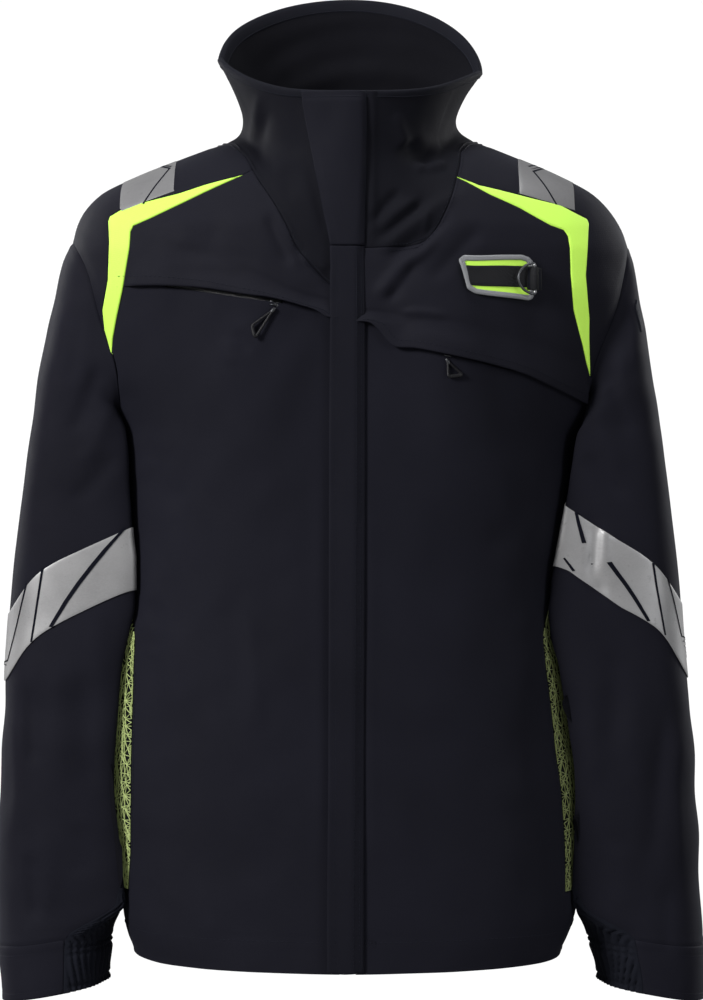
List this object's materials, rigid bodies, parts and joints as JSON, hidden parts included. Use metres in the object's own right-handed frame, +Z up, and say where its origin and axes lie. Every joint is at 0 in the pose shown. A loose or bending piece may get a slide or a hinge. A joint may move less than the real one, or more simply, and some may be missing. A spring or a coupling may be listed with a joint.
{
  "type": "firefighter jacket",
  "caption": "Zipped work jacket for firefighters, worn-shape, with stand collar, storm flap, bright shoulder inserts, reflective sleeve bands and mesh side panels.",
  "frame": {"origin": "bottom centre of the coat's box: between the sides, between front and back, level with the cuffs' lowest point", "axes": "+Z up, -Y out of the chest, +X to the wearer's left"},
  "size_m": [0.6299, 0.2933, 0.9029],
  "materials": {
    "shell": "matt woven softshell, near black with a blue cast",
    "yoke": "matt coated fabric, slightly darker than the shell",
    "side_mesh": "coarse open knit, yellow-green threads over black",
    "hi_vis": "fluorescent yellow-green woven fabric",
    "reflective": "silver-grey glass-bead tape",
    "lining": "soft knit lining, charcoal",
    "binding": "bound edge, matt",
    "webbing": "ribbed black webbing",
    "cord": "round black cord",
    "grey_trim": "matt grey transfer film",
    "elastic": "gathered elasticated fabric",
    "zip_tape": "woven zip tape, black",
    "zip_teeth": "moulded black teeth",
    "metal": "dark plated metal, satin"
  },
  "bodies": {
    "coat": {"front_panel_right": "shell", "front_panel_left": "shell", "back_panel": "shell", "side_panel_right": "side_mesh", "side_panel_left": "side_mesh", "front_yoke_right": "yoke", "front_yoke_left": "yoke", "back_yoke": "yoke", "shoulder_panel_right": "yoke", "shoulder_panel_left": "yoke", "hi_vis_insert_right": "hi_vis", "hi_vis_insert_left": "hi_vis", "shoulder_reflector_right": "reflective", "shoulder_reflector_left": "reflective", "collar_outer": "shell", "collar_lining": "lining", "collar_binding": "binding", "hang_loop": "webbing", "flap_loop_strip": "webbing", "zip_tape_right": "zip_tape", "zip_tape_left": "zip_tape", "zip_teeth_right": "zip_teeth", "zip_teeth_left": "zip_teeth", "zip_bottom_box": "zip_teeth", "hem_facing": "lining", "body_liner": "lining", "tool_patch": "hi_vis", "tool_patch_frame": "grey_trim", "tool_strap": "webbing", "d_ring_loop": "webbing", "chest_pocket_bag_right": "lining", "chest_zip_tape_right": "zip_tape", "chest_pocket_bag_left": "lining", "chest_zip_tape_left": "zip_tape"},
    "storm_flap": {"storm_flap": "yoke", "collar_flap": "yoke", "flap_hook_strip": "webbing"},
    "front_slider": {"front_zip_slider": "metal"},
    "front_pull": {"front_zip_pull": "metal"},
    "tool_ring": {"d_ring": "metal"},
    "chest_slider_right": {"chest_slider_right": "metal"},
    "chest_pull_right": {"chest_pull_right": "cord"},
    "upper_sleeve_right": {"sleeve_upper_right": "shell", "sleeve_band_right": "reflective", "sleeve_liner_right": "lining"},
    "lower_sleeve_right": {"sleeve_lower_right": "shell", "cuff_right": "shell", "cuff_elastic_right": "elastic"},
    "chest_slider_left": {"chest_slider_left": "metal"},
    "chest_pull_left": {"chest_pull_left": "cord"},
    "upper_sleeve_left": {"sleeve_upper_left": "shell", "sleeve_band_left": "reflective", "sleeve_liner_left": "lining", "sleeve_patch": "grey_trim"},
    "lower_sleeve_left": {"sleeve_lower_left": "shell", "cuff_left": "shell", "cuff_elastic_left": "elastic"}
  },
  "joints": [
    {"name": "storm_flap_open", "type": "hinge", "parent": "coat", "child": "storm_flap", "pos_m": [0.0135, -0.13082, 0.35724], "axis": [0, 0.0472, 0.9989], "range_deg": [0, 150]},
    {"name": "front_zip_travel", "type": "slide", "parent": "coat", "child": "front_slider", "axis": [0, -0.0472, -0.9989], "range_m": [0, 0.69]},
    {"name": "front_pull_swing", "type": "hinge", "parent": "front_slider", "child": "front_pull", "pos_m": [-0.0029, -0.10763, 0.77608], "axis": [0, -0.9989, 0.0472], "range_deg": [-8, 8]},
    {"name": "chest_zip_travel_right", "type": "hinge", "parent": "coat", "child": "chest_slider_right", "pos_m": [-0.06072, 0.11897, 0.6126], "axis": [-0.1438, 0, -0.9896], "range_deg": [0, 21.83]},
    {"name": "chest_pull_lift_right", "type": "hinge", "parent": "chest_slider_right", "child": "chest_pull_right", "pos_m": [-0.06695, -0.11784, 0.61351], "axis": [-0.9893, 0.0266, 0.1438], "range_deg": [0, 100]},
    {"name": "chest_zip_travel_left", "type": "hinge", "parent": "coat", "child": "chest_slider_left", "pos_m": [0.04728, 0.1098, 0.57826], "axis": [0.2425, 0, 0.9701], "range_deg": [0, 16]},
    {"name": "chest_pull_lift_left", "type": "hinge", "parent": "chest_slider_left", "child": "chest_pull_left", "pos_m": [0.08339, -0.121, 0.56923], "axis": [-0.9578, -0.1592, 0.2394], "range_deg": [0, 100]},
    {"name": "tool_ring_swing", "type": "hinge", "parent": "coat", "child": "tool_ring", "pos_m": [0.15957, -0.1031, 0.63697], "axis": [-0.0172, 0.0486, 0.9987], "range_deg": [0, 150]},
    {"name": "sleeve_swing_right", "type": "hinge", "parent": "coat", "child": "upper_sleeve_right", "pos_m": [-0.2279, 0.0052, 0.5955], "axis": [-0.9641, 0, -0.2656], "range_deg": [-30, 60]},
    {"name": "elbow_bend_right", "type": "hinge", "parent": "upper_sleeve_right", "child": "lower_sleeve_right", "pos_m": [-0.2589, -0.0668, 0.274], "axis": [-0.9962, 0.0872, 0], "range_deg": [0, 70]},
    {"name": "sleeve_swing_left", "type": "hinge", "parent": "coat", "child": "upper_sleeve_left", "pos_m": [0.2261, 0.0052, 0.5955], "axis": [-0.9641, 0, 0.2656], "range_deg": [-30, 60]},
    {"name": "elbow_bend_left", "type": "hinge", "parent": "upper_sleeve_left", "child": "lower_sleeve_left", "pos_m": [0.2571, -0.0668, 0.274], "axis": [-0.9962, -0.0872, 0], "range_deg": [0, 70]}
  ]
}
